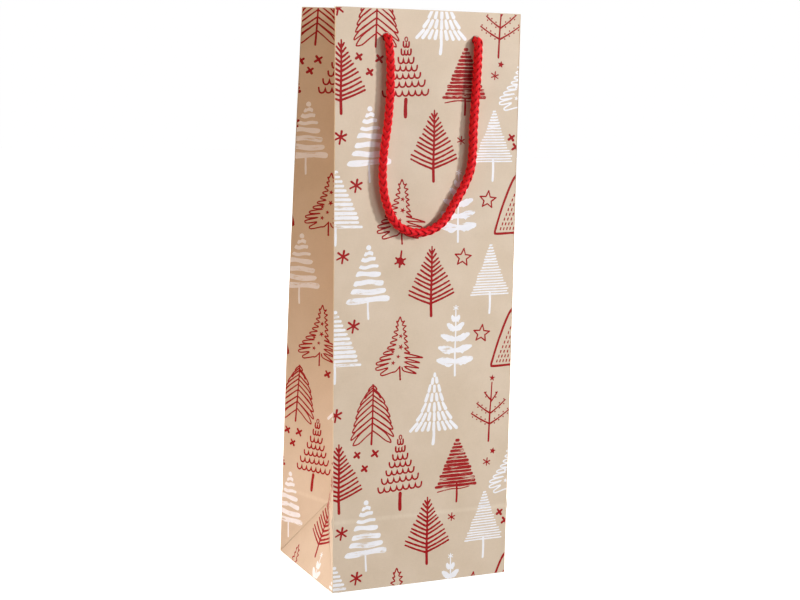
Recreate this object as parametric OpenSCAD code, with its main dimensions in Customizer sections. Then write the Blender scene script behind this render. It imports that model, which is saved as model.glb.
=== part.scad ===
// Paper carrier bag for one wine bottle, with gusseted sides, a folded block
// bottom, card-stiffened rims and two knotted rope handles.
// Millimetres. Origin at the middle of the base underside, +Z up, front at -Y.
// The paper is one sheet in use; it is drawn here as the panels between its
// creases, because each panel turns about its crease.

/* [Bag] */
// Length of a panel from base crease to rim
bag_h = 360; // [330:5:390]
// Width of the front and back panels
bag_w = 120; // [110:2:140]
// Depth of the base, front crease to back crease
bag_d = 90; // [84:2:96]
// How far the front rim leans in from over its base crease
front_lean = 8; // [4:1:12]
// How far the back rim leans in from over its base crease
back_lean = 28; // [20:1:32]

/* [Paper and card] */
// Thickness of the kraft paper
paper_t = 0.3; // [0.2:0.05:0.4]
// Depth of the hem turned in at the rim
hem_h = 40; // [36:1:50]
// Thickness of the card strip inside each rim
card_t = 0.6; // [0.4:0.1:0.8]
// Height of the card strip
card_h = 34; // [30:1:35]
// Thickness of the loose board on the bottom
board_t = 1; // [0.8:0.1:1.5]
// Width of the glued side seam
seam_w = 16; // [12:1:20]

/* [Rope handles] */
// Distance between the two holes of one handle
hole_spacing = 58; // [50:1:64]
// Distance of the holes below the rim
hole_drop = 17; // [15:1:22]
// Diameter of a punched hole
hole_d = 5.6; // [5.4:0.1:7]
// Diameter of the braided rope
rope_d = 5; // [4:0.2:5]
// How far the loop hangs below its holes
loop_drop = 118; // [100:1:140]

/* [Hidden] */

kraft = "#d3b48c";
kraft_inside = "#dcc4a0";
grey_card = "#b9ad9b";
red_rope = "#d0101c";

front_a = asin(front_lean / bag_h);       // lean of the front panel
back_a = asin(back_lean / bag_h);         // lean of the back panel
half_g = bag_d / 2;                       // width of one gusset half, edge to crease
floor_z = 1;                              // where the upright panels start, over the flaps
edge_gap = 1.8;                           // gusset half to panel edge
hem_gap = 3;                              // gusset hem to panel edge
glue_t = 0.05;                            // glue between a gusset and its hem
crease_gap = 1.9;                         // gusset half to the middle crease
fold_gap = 2.5;                           // gusset half to the slanting bottom fold
hole_l = bag_h - hole_drop;               // hole position along a panel
stack = 2 * paper_t + card_t;             // paper, card and hem together
card_w = bag_w - 12;
pivot_out = rope_d / 2 + 1;               // swing line of a loop, out from the panel
hem_end = bag_h - hem_h;

// Depth of the bag at a length l up its panels, and the fold angle of the
// gusset halves there: 0 when square, 90 when pressed flat.
function depth_at(l) = bag_d - l * (sin(front_a) + sin(back_a));
function fold_at(l) = acos(depth_at(l) / bag_d);

// A point of a gusset half: sx -1 left or +1 right, sy -1 front or +1 back,
// l along the panel edge, w from the edge to the crease, t inwards.
function gusset_point(sx, sy, l, w, t) =
    let (a = fold_at(l), lean = sy < 0 ? front_a : back_a)
    [sx * bag_w / 2 - sx * (w * sin(a) + t * cos(a)),
     sy * (half_g - l * sin(lean)) - sy * (w * cos(a) - t * sin(a)),
     l * cos(lean)];

// Rows up a gusset half: close together along the slanting fold, then even.
fold_top = half_g - crease_gap + fold_gap;
function gusset_rows(from, to, n) = [for (i = [0:n]) from + (to - from) * i / n];
function gusset_width(l) = min(half_g - crease_gap, l - fold_gap);

// Tube faces round n rings of m points, closed at both ends. flip turns the
// faces over for rings that run the other way round. On a thin sheet the second
// half of each ring is cut along the other diagonal, so both skins bend alike.
function tube_faces(n, m, flip, thin = false) =
    let (side = [for (i = [0:n - 2], j = [0:m - 1])
                 let (a = i * m + j, b = i * m + (j + 1) % m)
                 each thin && j >= m / 2 ? [[a, b, a + m], [b, b + m, a + m]]
                                         : [[a, b, b + m], [a, b + m, a + m]]],
         ends = [[for (j = [m - 1:-1:0]) j], [for (j = [0:m - 1]) (n - 1) * m + j]],
         all = concat(side, ends))
    flip ? [for (f = all) [for (k = [len(f) - 1:-1:0]) f[k]]] : all;

// A bent strip of paper between two depths of one gusset half.
module gusset_sheet(sx, sy, rows, gap, t0, t1) {
    points = [for (l = rows)
        each [gusset_point(sx, sy, l, gap, t0),
              gusset_point(sx, sy, l, gusset_width(l), t0),
              gusset_point(sx, sy, l, gusset_width(l), t1),
              gusset_point(sx, sy, l, gap, t1)]];
    polyhedron(points, tube_faces(len(rows), 4, sx * sy > 0, true), convexity = 4);
}

module gusset(sx, sy) {
    rows = concat(gusset_rows(edge_gap + fold_gap + 1, fold_top, 5),
                  [for (i = [1:11]) fold_top + (hem_end - fold_top) * i / 11],
                  [for (i = [1:4]) hem_end + hem_h * i / 4]);
    color(kraft) gusset_sheet(sx, sy, rows, edge_gap, 0, paper_t);
}

module gusset_hem(sx, sy) {
    color(kraft_inside)
        gusset_sheet(sx, sy, gusset_rows(hem_end, bag_h, 4), hem_gap, paper_t + glue_t, 2 * paper_t + glue_t);
}

// Frames of the two leaning panels: X across, Y inwards from the outer face,
// Z up along the panel.
module on_front() {
    translate([0, -half_g, 0]) rotate([-front_a, 0, 0]) children();
}

module on_back() {
    translate([0, half_g, 0]) rotate([back_a, 0, 0]) mirror([0, 1, 0]) children();
}

// A flat layer of a panel, y0 to y1 deep, with the two handle holes.
module layer(w, z0, z1, y0, y1, holes = true) {
    difference() {
        translate([-w / 2, y0, z0]) cube([w, y1 - y0, z1 - z0]);
        if (holes)
            for (s = [-1, 1])
                translate([s * hole_spacing / 2, y0 - 1, hole_l])
                    rotate([-90, 0, 0]) cylinder(d = hole_d, h = y1 - y0 + 2, $fn = 48);
    }
}

module panel() {
    color(kraft) layer(bag_w, floor_z, bag_h - paper_t, 0, paper_t);
}

// Hem turned in over the rim: the fold on top and the inner face.
module hem() {
    color(kraft_inside) union() {
        layer(card_w + 1, hem_end, bag_h - paper_t, paper_t + card_t, stack);
        translate([-bag_w / 2, 0, bag_h - paper_t]) cube([bag_w, paper_t, paper_t]);
        translate([-(card_w + 1) / 2, 0, bag_h - paper_t]) cube([card_w + 1, stack, paper_t]);
    }
}

module rim_card() {
    color(grey_card) layer(card_w, bag_h - paper_t - card_h, bag_h - paper_t, paper_t, paper_t + card_t);
}

// Stopper knot behind a hole, with the stretch through the hole and the tail.
module knot(s) {
    color(red_rope) translate([s * hole_spacing / 2, 0, hole_l]) {
        rotate([-90, 0, 0]) {
            translate([0, 0, -0.8]) cylinder(d = rope_d, h = stack + 3.8, $fn = 40);
            translate([0, 0, stack]) union() {
                cylinder(r = 3.2, h = 7.4, $fn = 40);
                rotate_extrude($fn = 40) translate([2.9, 2.4]) circle(r = 2.4, $fn = 32);
                rotate_extrude($fn = 40) translate([2.4, 5.4]) circle(r = 2.2, $fn = 32);
            }
        }
        translate([0, stack + 3.6, -19]) cylinder(d = rope_d - 0.4, h = 17, $fn = 32);
    }
}

// Route of a hanging loop, hole to hole: across, out from the panel, down.
loop_route = [[-29, 0, 0], [-29.3, 0.1, 6], [-30, 0.3, 13], [-31, 0.5, 31], [-32, 0.6, 49], [-33, 0.7, 67],
              [-33, 0.8, 84], [-31, 0.8, 99], [-26, 0.9, 109.5], [-17, 1, 116],
              [-7, 1, 118], [2, 1, 116], [10, 0.9, 111.5], [17, 0.8, 103.5], [22, 0.8, 93],
              [26, 0.7, 80], [28, 0.6, 67], [29.5, 0.5, 49], [30, 0.4, 31],
              [30, 0.3, 13], [29.3, 0.1, 6], [29, 0, 0]];

// Smooth curve through the route, with steps points to each stretch.
function route_at(i) = loop_route[max(0, min(len(loop_route) - 1, i))];
function between(i, t) =
    let (a = route_at(i - 1), b = route_at(i), c = route_at(i + 1), d = route_at(i + 2))
    0.5 * (2 * b + (c - a) * t + (2 * a - 5 * b + 4 * c - d) * t * t + (3 * b - a - 3 * c + d) * t * t * t);
function hung(p, lean) =
    [p[0] * hole_spacing / 58,
     -p[1] - p[2] * loop_drop / 118 * tan(lean),
     -p[2] * loop_drop / 118];
function unit(v) = v / norm(v);

module loop(lean) {
    steps = 2;
    last = len(loop_route) - 1;
    path = concat([for (i = [0:last - 1], k = [0:steps - 1]) hung(between(i, k / steps), lean)],
                  [hung(route_at(last), lean)]);
    n = len(path);
    sides = 10;
    points = [for (i = [0:n - 1])
        let (dir = i == 0 ? [0, 0, -1] : i == n - 1 ? [0, 0, 1] : unit(path[i + 1] - path[i - 1]),
             out = unit(cross(dir, cross([0, -1, 0], dir))),
             side = cross(out, dir))
        for (j = [0:sides - 1])
            let (q = 360 * (j + 0.5) / sides)
            path[i] + rope_d / 2 * (cos(q) * side + sin(q) * out)];
    color(red_rope) polyhedron(points, tube_faces(n, sides, true), convexity = 6);
}

// Slanting fold at the foot of a side: a triangle on the base's side edge.
module base_fold(sx) {
    m = 2;
    rise = half_g - m;
    color(kraft) mirror([sx > 0 ? 1 : 0, 0, 0])
        translate([-bag_w / 2, 0, 0]) rotate([0, fold_at(half_g), 0])
            rotate([90, 0, 90]) linear_extrude(height = paper_t)
                polygon([[-rise + floor_z, floor_z], [rise - floor_z, floor_z], [0, rise]]);
}

// Flaps that close the bottom, outermost first, and the board on them.
module bottom_flap_front() {
    color(kraft) translate([-bag_w / 2, -half_g, 0]) cube([bag_w, bag_d * 0.7, paper_t]);
}

module bottom_flap_back() {
    color(kraft) translate([-bag_w / 2, half_g - bag_d * 0.6, paper_t]) cube([bag_w, bag_d * 0.6, paper_t]);
}

module side_flap(sx) {
    reach = 26;
    color(kraft_inside) translate([0, 0, 2 * paper_t]) linear_extrude(height = paper_t)
        polygon([[sx * (bag_w / 2 - 1.5), -half_g + 2], [sx * (bag_w / 2 - 1.5), half_g - 2],
                 [sx * (bag_w / 2 - reach), half_g - 2 - reach], [sx * (bag_w / 2 - reach), -half_g + 2 + reach]]);
}

module bottom_flap_left() { side_flap(-1); }
module bottom_flap_right() { side_flap(1); }

module base_board() {
    r = 2;
    color(grey_card) translate([0, 0, 3 * paper_t]) linear_extrude(height = board_t) difference() {
        square([bag_w - 3, bag_d - 4], center = true);
        for (sx = [-1, 1], sy = [-1, 1])
            translate([sx * (bag_w - 3) / 2, sy * (bag_d - 4) / 2]) rotate(45) square(r * 1.4, center = true);
    }
}

// Overlap where the sheet's two ends are glued, inside the back panel.
module side_seam_flap() {
    color(kraft_inside) on_back()
        translate([bag_w / 2 - 4 - seam_w, paper_t, floor_z + 2]) cube([seam_w, paper_t, hem_end - floor_z - 4]);
}

module front_panel() { on_front() panel(); }
module back_panel() { on_back() panel(); }
module left_front_gusset() { gusset(-1, -1); }
module left_back_gusset() { gusset(-1, 1); }
module right_front_gusset() { gusset(1, -1); }
module right_back_gusset() { gusset(1, 1); }
module left_front_gusset_hem() { gusset_hem(-1, -1); }
module left_back_gusset_hem() { gusset_hem(-1, 1); }
module right_front_gusset_hem() { gusset_hem(1, -1); }
module right_back_gusset_hem() { gusset_hem(1, 1); }
module left_base_fold() { base_fold(-1); }
module right_base_fold() { base_fold(1); }
module front_hem() { on_front() hem(); }
module back_hem() { on_back() hem(); }
module front_rim_card() { on_front() rim_card(); }
module back_rim_card() { on_back() rim_card(); }
module front_left_knot() { on_front() knot(-1); }
module front_right_knot() { on_front() knot(1); }
module back_left_knot() { on_back() knot(-1); }
module back_right_knot() { on_back() knot(1); }

// Each loop hangs from a swing line just outside its panel, level with the holes.
module front_handle() {
    translate([0, -half_g + hole_l * sin(front_a) - pivot_out * cos(front_a), hole_l * cos(front_a)])
        loop(front_a);
}

module back_handle() {
    mirror([0, 1, 0])
        translate([0, -half_g + hole_l * sin(back_a) - pivot_out * cos(back_a), hole_l * cos(back_a)])
            loop(back_a);
}

front_panel();
back_panel();
left_front_gusset();
left_back_gusset();
right_front_gusset();
right_back_gusset();
left_base_fold();
right_base_fold();
bottom_flap_front();
bottom_flap_back();
bottom_flap_left();
bottom_flap_right();
base_board();
front_hem();
back_hem();
left_front_gusset_hem();
left_back_gusset_hem();
right_front_gusset_hem();
right_back_gusset_hem();
side_seam_flap();
front_rim_card();
back_rim_card();
front_handle();
back_handle();
front_left_knot();
front_right_knot();
back_left_knot();
back_right_knot();
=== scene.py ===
"""Looks of a kraft paper carrier bag for one wine bottle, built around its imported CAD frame.

Lengths inside the helper functions are in millimetres; meshes are made in metres.
"""

import math
import random

import bmesh
import bpy
import numpy as np
from mathutils import Matrix, Vector, noise
from mathutils.geometry import delaunay_2d_cdt


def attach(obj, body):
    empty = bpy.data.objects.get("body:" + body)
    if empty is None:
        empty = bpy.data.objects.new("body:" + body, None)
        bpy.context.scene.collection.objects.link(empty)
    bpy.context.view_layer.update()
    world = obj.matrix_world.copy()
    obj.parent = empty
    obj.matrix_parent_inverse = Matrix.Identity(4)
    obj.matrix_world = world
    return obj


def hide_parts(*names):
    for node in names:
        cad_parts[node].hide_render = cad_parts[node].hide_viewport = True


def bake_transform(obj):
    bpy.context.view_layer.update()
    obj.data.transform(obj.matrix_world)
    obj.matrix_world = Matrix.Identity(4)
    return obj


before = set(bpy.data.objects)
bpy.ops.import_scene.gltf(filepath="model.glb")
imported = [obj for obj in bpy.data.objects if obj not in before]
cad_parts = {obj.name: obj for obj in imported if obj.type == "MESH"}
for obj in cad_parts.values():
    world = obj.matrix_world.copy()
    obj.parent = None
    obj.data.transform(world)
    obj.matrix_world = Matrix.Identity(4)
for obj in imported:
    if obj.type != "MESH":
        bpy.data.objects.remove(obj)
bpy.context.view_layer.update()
scene = bpy.context.scene

# ---------------------------------------------------------------- sizes, as in the CAD model
H, W, D = 360.0, 120.0, 90.0
HALF = D / 2
LEAN = {-1: math.asin(8 / H), 1: math.asin(28 / H)}
HOLE_L, HOLE_R = 343.0, 2.9
HOLES = {-1: -27.6, 1: 30.4}
HEM_L = 320.0
STACK = 1.2
OUT = 3.5
MM = 0.001


# ---------------------------------------------------------------- camera
def add_camera():
    az, el, roll = math.radians(-24.665), math.radians(9.621), math.radians(1.48)
    back = Vector((math.sin(az) * math.cos(el), -math.cos(az) * math.cos(el), math.sin(el)))
    right = Vector((math.cos(az), math.sin(az), 0))
    up = back.cross(right)
    r = right * math.cos(roll) + up * math.sin(roll)
    u = up * math.cos(roll) - right * math.sin(roll)
    data = bpy.data.cameras.new("camera")
    data.sensor_width = 36
    data.lens = 77.97
    data.clip_start, data.clip_end = 0.05, 20
    cam = bpy.data.objects.new("camera", data)
    scene.collection.objects.link(cam)
    cam.matrix_world = Matrix((
        (r.x, u.x, back.x, -0.4586),
        (r.y, u.y, back.y, -1.0027),
        (r.z, u.z, back.z, 0.3624),
        (0, 0, 0, 1)))
    scene.camera = cam


add_camera()


# ---------------------------------------------------------------- helpers
def settle(p):
    """The made-up bag isn't quite square: its mouth flares by 2.5 mm a side and one rim corner sits lower."""
    x, y, z = p
    k = z / H
    return (x * (1 + (0.61 + 1.96 * k) / 60), y * (1 + 1.14 * (1 - k) / HALF), z + (0.61 - 1.02 * x / 60) * k * k)


def new_object(name, verts, faces, uvs=None, materials=(), face_mats=None, smooth=True, fix=True, bend=True):
    me = bpy.data.meshes.new(name)
    me.from_pydata([tuple(c * MM for c in (settle(v) if bend else v)) for v in verts], [], [tuple(f) for f in faces])
    for m in materials:
        me.materials.append(m)
    if face_mats is not None:
        me.polygons.foreach_set("material_index", np.array(face_mats, np.int32))
    if uvs is not None:
        layer = me.uv_layers.new(name="paper")
        loops = np.zeros(len(me.loops), np.int32)
        me.loops.foreach_get("vertex_index", loops)
        layer.data.foreach_set("uv", np.array(uvs, np.float32)[loops].ravel())
    ob = bpy.data.objects.new(name, me)
    scene.collection.objects.link(ob)
    if fix:
        bm = bmesh.new()
        bm.from_mesh(me)
        bmesh.ops.recalc_face_normals(bm, faces=bm.faces)
        bm.to_mesh(me)
        bm.free()
    if smooth:
        me.polygons.foreach_set("use_smooth", [True] * len(me.polygons))
        me.set_sharp_from_angle(angle=math.radians(35))
    me.update()
    return ob


def wave(x, y, seed, scale):
    return noise.noise(Vector((x / scale, y / scale, seed * 3.7)))


# ---------------------------------------------------------------- where the paper lies
def depth_at(l):
    return D - l * (math.sin(LEAN[-1]) + math.sin(LEAN[1]))


def fold_at(l):
    return math.acos(depth_at(max(l, HALF)) / D)


Z_MID = (math.cos(LEAN[-1]) + math.cos(LEAN[1])) / 2


def edge_shift(side, l):
    """How far an upright edge stands off the straight line: outwards across, and outwards along the depth."""
    s = math.sin(math.pi * min(max(l / H, 0), 1))
    kink = math.exp(-((l - HALF) / 2.0) ** 2)
    if side > 0:
        return 1.1 * s - 0.25 * kink, 0.35 * s
    return 0.15 * s - 0.85 * kink, 0.1 * s - 0.25 * kink


def relief(side, x, l):
    """Shallow waves of a panel, outwards, fading out at its edges."""
    fade = 1 - (abs(x) / 60) ** 4
    fade *= 1 - 0.75 * math.exp(-((H - l) / 12) ** 2)
    fade *= 1 - math.exp(-(l / 8) ** 2)
    d = 0.55 * wave(x, l * 0.7, 2 + side, 46) + 0.16 * wave(x, l, 7 + side, 17)
    d *= fade
    d -= 0.16 * math.exp(-((l - HALF) / 0.9) ** 2) * (1 - 0.5 * (x / 60) ** 2)
    d += 0.12 * math.exp(-((l - HALF - 6) / 6) ** 2) * fade
    for hx in HOLES.values():
        r = math.hypot(x - hx, l - HOLE_L)
        d -= 0.18 * math.exp(-(r / 5.5) ** 2)
    return d


def panel_point(side, x, l, t):
    """side -1 front, 1 back; x across; l up the panel; t inwards."""
    a = LEAN[side]
    ex, ey = edge_shift(side, l)
    d = relief(side, x, l) + ey * (x / 60) ** 4 - t
    return (x + math.copysign(ex * (abs(x) / 60) ** 4, x),
            side * (HALF - l * math.sin(a) + d * math.cos(a)),
            l * math.cos(a) + d * math.sin(a))


def gusset_relief(sx, side, w, l):
    fade = math.sin(math.pi * min(max(w / HALF, 0), 1)) ** 0.8
    fade *= 1 - 0.8 * math.exp(-((H - l) / 12) ** 2)
    low = min(max((l - w) / 14, 0), 1)
    d = 0.55 * wave(w + 31 * side, l * 0.6, 11 + sx, 36) + 0.12 * wave(w, l, 21 + side, 14)
    d -= 0.12 * math.exp(-((l - 52 - 0.25 * w) / 1.0) ** 2)
    return d * fade * low


def gusset_point(sx, side, w, l, t):
    """A point of a gusset half: w from the upright edge to the middle crease."""
    a = fold_at(l)
    lean = LEAN[side]
    ex, ey = edge_shift(side, l)
    k = (1 - min(max(w / HALF, 0), 1)) ** 2
    t = t - gusset_relief(sx, side, w, l)
    zc = math.cos(lean) + (Z_MID - math.cos(lean)) * min(w / HALF, 1)
    return (sx * (60 + ex * k) - sx * (w * math.sin(a) + t * math.cos(a)),
            side * (HALF + ey * k - l * math.sin(lean)) - side * (w * math.cos(a) - t * math.sin(a)),
            l * zc)


APEX = gusset_point(-1, -1, HALF, HALF, 0)


def fold_point(sx, u, l, t):
    """The slanting fold at the foot of a side; u from -45 at the front to 45 at the back."""
    k = l / HALF
    a = fold_at(HALF)
    d = 0.25 * math.sin(math.pi * k) * math.cos(math.pi * u / 95) * (1 - (abs(u) / 45) ** 2)
    t = t - d
    return (sx * (60 - k * (60 + APEX[0])) - sx * t * math.cos(a),
            u + k * APEX[1],
            k * APEX[2] - t * math.sin(a) * 0.9)


# ---------------------------------------------------------------- print: own generic trees and stars
def unit(v):
    n = math.hypot(*v) or 1.0
    return v[0] / n, v[1] / n


def stroke(pts, w0, w1=None, rng=None, rough=0.10):
    """Outline of a brush line through pts, from width w0 to width w1, with round ends."""
    w1 = w0 if w1 is None else w1
    pts = [p for i, p in enumerate(pts) if i == 0 or math.dist(p, pts[i - 1]) > 0.02]
    n = len(pts)
    if n < 2:
        return []
    left, right = [], []
    for i, p in enumerate(pts):
        a, b = pts[max(i - 1, 0)], pts[min(i + 1, n - 1)]
        t = unit((b[0] - a[0], b[1] - a[1]))
        h = 0.5 * (w0 + (w1 - w0) * i / (n - 1))
        if rng:
            h *= 1 + rough * rng.uniform(-1, 1)
        left.append((p[0] - t[1] * h, p[1] + t[0] * h))
        right.append((p[0] + t[1] * h, p[1] - t[0] * h))
    t0 = unit((pts[1][0] - pts[0][0], pts[1][1] - pts[0][1]))
    t1 = unit((pts[-1][0] - pts[-2][0], pts[-1][1] - pts[-2][1]))
    h0, h1 = 0.5 * w0, 0.5 * w1
    cap1 = [(pts[-1][0] + h1 * (t1[0] * math.sin(q) - t1[1] * math.cos(q)),
             pts[-1][1] + h1 * (t1[1] * math.sin(q) + t1[0] * math.cos(q))) for q in (0.8, 1.57, 2.34)]
    cap0 = [(pts[0][0] + h0 * (-t0[0] * math.sin(q) + t0[1] * math.cos(q)),
             pts[0][1] + h0 * (-t0[1] * math.sin(q) - t0[0] * math.cos(q))) for q in (0.8, 1.57, 2.34)]
    return left + cap1 + right[::-1] + cap0


def curve(pts, steps=4):
    """Smooth line through a few points."""
    out = []
    n = len(pts)
    for i in range(n - 1):
        a, b, c, d = pts[max(i - 1, 0)], pts[i], pts[i + 1], pts[min(i + 2, n - 1)]
        for k in range(steps):
            t = k / steps
            out.append(tuple(0.5 * (2 * b[j] + (c[j] - a[j]) * t + (2 * a[j] - 5 * b[j] + 4 * c[j] - d[j]) * t * t
                                    + (3 * b[j] - a[j] - 3 * c[j] + d[j]) * t ** 3) for j in (0, 1)))
    out.append(tuple(pts[-1]))
    return out


def blob(cx, cy, rx, ry, rng, n=14, rough=0.06, turn=0.0):
    pts = []
    for i in range(n):
        q = 2 * math.pi * i / n
        r = 1 + rough * rng.uniform(-1, 1)
        x, y = rx * r * math.cos(q), ry * r * math.sin(q)
        pts.append((cx + x * math.cos(turn) - y * math.sin(turn), cy + x * math.sin(turn) + y * math.cos(turn)))
    return pts


def small_star(cx, cy, r, turn=0.3, inner=0.42):
    return [(cx + (r if i % 2 == 0 else r * inner) * math.sin(turn + math.pi * i / 5),
             cy + (r if i % 2 == 0 else r * inner) * math.cos(turn + math.pi * i / 5)) for i in range(10)]


def branch_tree():
    """Fir of a stem and rising branches."""
    rng = random.Random(5)
    s = [stroke(curve([(0.2, 0), (-0.1, 12), (0.1, 26), (0, 43.5)], 5), 1.9, 1.0, rng, 0.06)]
    n = 12
    for i in range(n):
        k = i / (n - 1)
        y = 7.6 + 31.2 * k
        for sd in (-1, 1):
            reach = (15.6 - 13.9 * k ** 0.92) * (1 + 0.05 * rng.uniform(-1, 1))
            rise = (6.6 - 3.6 * k) * (1 + 0.08 * rng.uniform(-1, 1))
            y0 = y + rng.uniform(-0.35, 0.35)
            s.append(stroke(curve([(0, y0), (sd * reach * 0.5, y0 + rise * 0.42 + 0.2), (sd * reach, y0 + rise)], 4),
                            1.45, 1.15, rng, 0.12))
    return [("red", p) for p in s]


def loop_tree():
    """Fir of long drooping leaf loops, each resting on the one below."""
    rng = random.Random(8)
    s = [stroke(curve([(-0.5, 0), (0, 14), (0.4, 37.6)], 6), 1.4, 0.9, rng, 0.06)]
    n = 9
    for sd in (-1, 1):
        under = 8.5 + 0.4 * sd
        for i in range(n):
            k = i / (n - 1)
            low = 0.2 + 4.25 * i + 0.4 * rng.uniform(-1, 1)
            drop = 13.0 - 9.8 * k ** 2.6
            r = (14.0 - 11.2 * k ** 2.1) * (0.93 if i == 0 else 1) * (1 + 0.04 * rng.uniform(-1, 1))
            top = low + drop
            s.append(stroke(curve([(0.0, top), (sd * r * 0.35, top - drop * 0.26), (sd * r * 0.70, top - drop * 0.54),
                                   (sd * r * 0.92, top - drop * 0.82), (sd * r, low + 0.2), (sd * (r - 0.5), low - 0.3),
                                   (sd * r * 0.70, under - drop * 0.54), (sd * r * 0.35, under - drop * 0.26), (0.0, under)], 4),
                            0.95, 0.86, rng, 0.12))
            under = top
    return [("red", p) for p in s]


def dash_tree():
    """Fir of rows of short upright dabs."""
    rng = random.Random(12)
    s = [stroke(curve([(-0.4, 0), (0.1, 5), (0, 11)], 4), 2.1, 1.8, rng, 0.1)]
    for y, n, half, length in ((44.4, 1, 0.0, 2.2), (40.4, 2, 1.5, 3.8), (35.4, 3, 3.2, 4.4), (29.8, 4, 4.9, 4.9),
                               (23.8, 5, 7.0, 5.2), (17.6, 7, 10.0, 5.2), (11.4, 9, 13.6, 5.6)):
        for j in range(n):
            f = 0 if n == 1 else -1 + 2 * j / (n - 1)
            x = f * half + rng.uniform(-0.15, 0.15)
            lean = 0.75 * f * half / 13
            y0 = y + 0.3 * abs(f) + rng.uniform(-0.25, 0.25)
            a, b = length / 2, length / 2 * (1 + 0.08 * rng.uniform(-1, 1))
            s.append(stroke([(x - lean * a, y0 + a - 0.5), (x, y0), (x + lean * b, y0 - b + 0.5)], 1.9, 2.2, rng, 0.10))
    return [("white", p) for p in s]


def twig_tree():
    """Bare twig with dotted branches and a star on top."""
    rng = random.Random(17)
    s = [stroke(curve([(-0.6, -1.4), (-0.2, 14), (0.5, 27), (0.9, 37.0)], 5), 1.25, 0.8, rng, 0.1)]
    for y, dx, dy, sd in ((9.9, 13.0, 7.6, -1), (9.9, 13.2, 8.4, 1), (16.8, 9.6, 7.0, -1), (16.8, 10.2, 8.2, 1),
                          (25.4, 4.8, 5.4, -1), (24.4, 4.2, 6.0, 1)):
        x0 = -0.3 + 0.035 * y
        s.append(stroke(curve([(x0, y), (x0 + sd * dx * 0.5, y + dy * 0.45), (x0 + sd * dx, y + dy)], 4), 1.15, 0.85, rng, 0.14))
        n = int(dx / 2.7)
        for j in range(1, n + 1):
            f = j / (n + 0.4)
            for o in (1.5, -1.6):
                s.append(blob(x0 + sd * (dx * f) + 0.3 * sd, y + dy * f + o, 0.50, 0.56, rng, 7))
    s.append(small_star(1.0, 39.8, 2.3, 0.1))
    return [("red", p) for p in s]


def scallop_tree():
    """Fir of rows of joined little scallops."""
    rng = random.Random(21)
    s = [stroke(curve([(0.2, -1.4), (0.1, 4), (0.3, 9.0)], 3), 2.4, 2.2, rng, 0.1),
         stroke([(0.9 * math.sin(q), 45.0 + 1.35 * math.cos(q)) for q in np.linspace(0, 2 * math.pi, 15)], 0.75, None, rng, 0.1)]
    rows = [(40.9, 1.8, 2), (36.5, 3.1, 3), (31.5, 5.0, 3), (26.8, 7.3, 4), (22.0, 9.4, 5), (17.3, 12.4, 6), (11.8, 14.8, 7)]
    for y, half, n in rows:
        pts = []
        slope = rng.uniform(0.0, 0.07)
        h = 3.2 + rng.uniform(-0.2, 0.3)
        for i in range(n * 12 + 1):
            q = i / 12
            x = -half + 2 * half * q / n
            y1 = y + slope * x + 2.6 - h * abs(math.sin(math.pi * q)) ** 0.6
            pts.append((x - 0.35 * math.sin(2 * math.pi * q), y1))
        s.append(stroke(pts, 1.14, 1.14, rng, 0.08))
    return [("red", p) for p in s]


def line_tree(kind, seed, n, top, foot, half, thick, slope=0.02, curl=0.4):
    """Fir of stacked level strokes."""
    rng = random.Random(seed)
    s = [(kind.split("_")[0], stroke(curve([(0, 0), (0.2, foot / 2), (0, foot + 1)], 3), 1.5, 1.4, rng, 0.1))]
    for i in range(n):
        k = i / (n - 1)
        y = foot + (top - foot) * k
        h = 0.6 + (half - 0.6) * (1 - k) ** 0.93
        hl, hr = h * (1 + 0.06 * rng.uniform(-1, 1)), h * (1 + 0.06 * rng.uniform(-1, 1))
        m = rng.uniform(-curl, curl) * (1 - k)
        w = thick * (1 + 0.18 * rng.uniform(-1, 1))
        s.append((kind, stroke(curve([(-hl, y - slope * h), (-hl * 0.35, y + m * 0.5), (hr * 0.35, y + m * 0.3), (hr, y + slope * h)], 4),
                               w, w, rng, 0.12)))
    return s


def red_line_tree():
    out = line_tree("red_dry", 31, 14, 40.0, 10.6, 13.8, 1.85, 0.015)
    rng = random.Random(32)
    return out + [("red_dry", stroke(curve([(-13.2, 7.2), (-5, 8.6), (3, 8.4), (9, 9.4)], 4), 0.9, 0.6, rng, 0.15))]


def white_line_tree():
    return line_tree("white_dry", 35, 13, 44.0, 11.0, 16.0, 1.9, -0.01, 0.3)


def fine_line_tree():
    rng = random.Random(39)
    s = [("white", stroke(curve([(0, 0), (0.2, 6), (0, 13)], 3), 1.5, 1.4, rng, 0.1))]
    n = 19
    for i in range(n):
        k = i / (n - 1)
        y = 12.0 + 31.2 * k ** 1.02
        h = 0.7 + 12.6 * (1 - k) ** 1.08
        hl, hr = h * (1 + 0.07 * rng.uniform(-1, 1)), h * (1 + 0.07 * rng.uniform(-1, 1))
        m = rng.uniform(-0.25, 0.25)
        w = 0.95 if k < 0.62 else 1.15
        s.append(("white", stroke(curve([(-hl, y - 0.1), (-hl * 0.3, y + m), (hr * 0.4, y + m * 0.4), (hr, y + 0.15)], 4), w, w * 0.9, rng, 0.14)))
    return s


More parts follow.
